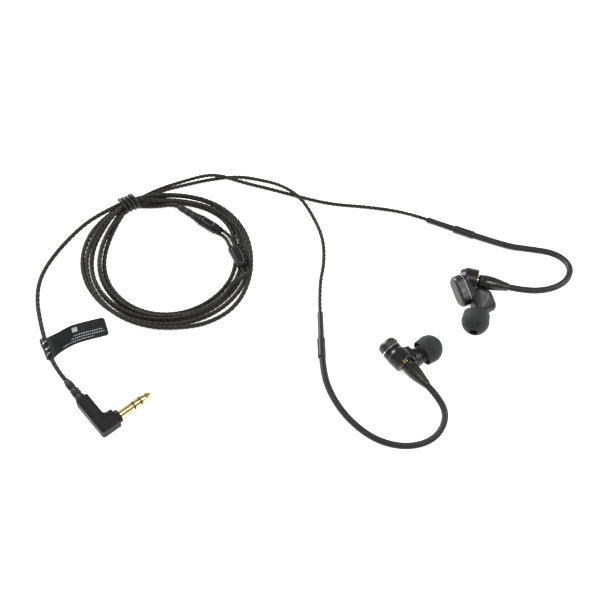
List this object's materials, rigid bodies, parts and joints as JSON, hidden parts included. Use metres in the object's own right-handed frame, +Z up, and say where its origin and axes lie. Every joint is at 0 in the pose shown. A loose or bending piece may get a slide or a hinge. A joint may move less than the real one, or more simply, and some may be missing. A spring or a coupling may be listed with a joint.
{
  "type": "in-ear monitors",
  "caption": "Over-ear in-ear monitors with rounded dome tips, swivelling connectors, formed ear hooks and a twisted cable coiled to a right-angle stereo plug.",
  "frame": {"origin": "on the table, under the middle of the two earpieces with their ear hooks", "axes": "+Z up from the table; -X towards the cable's coil and plug; +Y towards the tie's side of the coil"},
  "size_m": [0.2065, 0.1229, 0.0133],
  "materials": {
    "shell_dark": "semi-gloss moulded resin",
    "trim_silver": "bright metal trim",
    "mark_grey": "small inlaid dot",
    "driver_metal": "stamped driver can",
    "circuit_board": "green circuit board",
    "nozzle_dark": "moulded",
    "screen_metal": "woven wire",
    "damper_grey": "porous plug",
    "tip_rubber": "matte silicone",
    "contact_gold": "gold plated",
    "boot_black": "glossy moulded boot",
    "hook_rubber": "satin sleeve",
    "sleeve_black": "shrink sleeve",
    "cord_jacket": "twisted insulated strands",
    "plug_black": "matte moulded",
    "relief_rubber": "flexible",
    "insulator_black": "insulating ring",
    "tie_black": "soft wire tie",
    "tag_film": "satin film"
  },
  "bodies": {
    "cable": {"left_connector_plug": "contact_gold", "left_centre_pin": "contact_gold", "left_connector_boot": "boot_black", "left_ear_hook": "hook_rubber", "left_wide_sleeve": "sleeve_black", "left_narrow_sleeve": "sleeve_black", "left_lead": "cord_jacket", "left_lead_end": "cord_jacket", "right_connector_plug": "contact_gold", "right_centre_pin": "contact_gold", "right_connector_boot": "boot_black", "right_ear_hook": "hook_rubber", "right_wide_sleeve": "sleeve_black", "right_narrow_sleeve": "sleeve_black", "right_lead": "cord_jacket", "right_lead_end": "cord_jacket", "plug_housing": "plug_black", "plug_strain_relief": "relief_rubber", "plug_sleeve_contact": "contact_gold", "plug_ring_contact": "contact_gold", "plug_near_insulator": "insulator_black", "plug_far_insulator": "insulator_black", "plug_tip_contact": "contact_gold", "y_split_body": "plug_black", "y_split_relief": "relief_rubber", "cord_tie": "tie_black", "cord_coil": "cord_jacket", "cord_tag": "tag_film", "main_cord": "cord_jacket"},
    "left_earpiece": {"left_outer_cover": "shell_dark", "left_trim_ring": "trim_silver", "left_main_shell": "shell_dark", "left_side_mark": "mark_grey", "left_low_driver": "driver_metal", "left_high_driver": "driver_metal", "left_crossover_board": "circuit_board", "left_front_chamber": "shell_dark", "left_nozzle": "nozzle_dark", "left_nozzle_screen": "screen_metal", "left_acoustic_damper": "damper_grey", "left_connector_jack": "contact_gold"},
    "left_ear_tip": {"left_ear_tip": "tip_rubber"},
    "right_earpiece": {"right_outer_cover": "shell_dark", "right_trim_ring": "trim_silver", "right_main_shell": "shell_dark", "right_side_mark": "mark_grey", "right_low_driver": "driver_metal", "right_high_driver": "driver_metal", "right_crossover_board": "circuit_board", "right_front_chamber": "shell_dark", "right_nozzle": "nozzle_dark", "right_nozzle_screen": "screen_metal", "right_acoustic_damper": "damper_grey", "right_connector_jack": "contact_gold"},
    "right_ear_tip": {"right_ear_tip": "tip_rubber"},
    "cable_slider": {"cable_slider": "plug_black"}
  },
  "joints": [
    {"name": "left_connector_swivel", "type": "hinge", "parent": "cable", "child": "left_earpiece", "pos_m": [0.0126, 0.0174, 0.0093], "axis": [-0.9659, 0.2588, 0], "continuous": true},
    {"name": "left_tip_pull", "type": "slide", "parent": "left_earpiece", "child": "left_ear_tip", "axis": [-0.2079, -0.9781, 0], "range_m": [0, 0.0055]},
    {"name": "right_connector_swivel", "type": "hinge", "parent": "cable", "child": "right_earpiece", "pos_m": [-0.0163, -0.0186, 0.0093], "axis": [0.6561, -0.7547, 0], "continuous": true},
    {"name": "right_tip_pull", "type": "slide", "parent": "right_earpiece", "child": "right_ear_tip", "axis": [0.809, 0.5878, 0], "range_m": [0, 0.0055]},
    {"name": "slider_travel", "type": "slide", "parent": "cable", "child": "cable_slider", "axis": [0.4226, -0.9063, 0], "range_m": [0, 0.0035]}
  ]
}
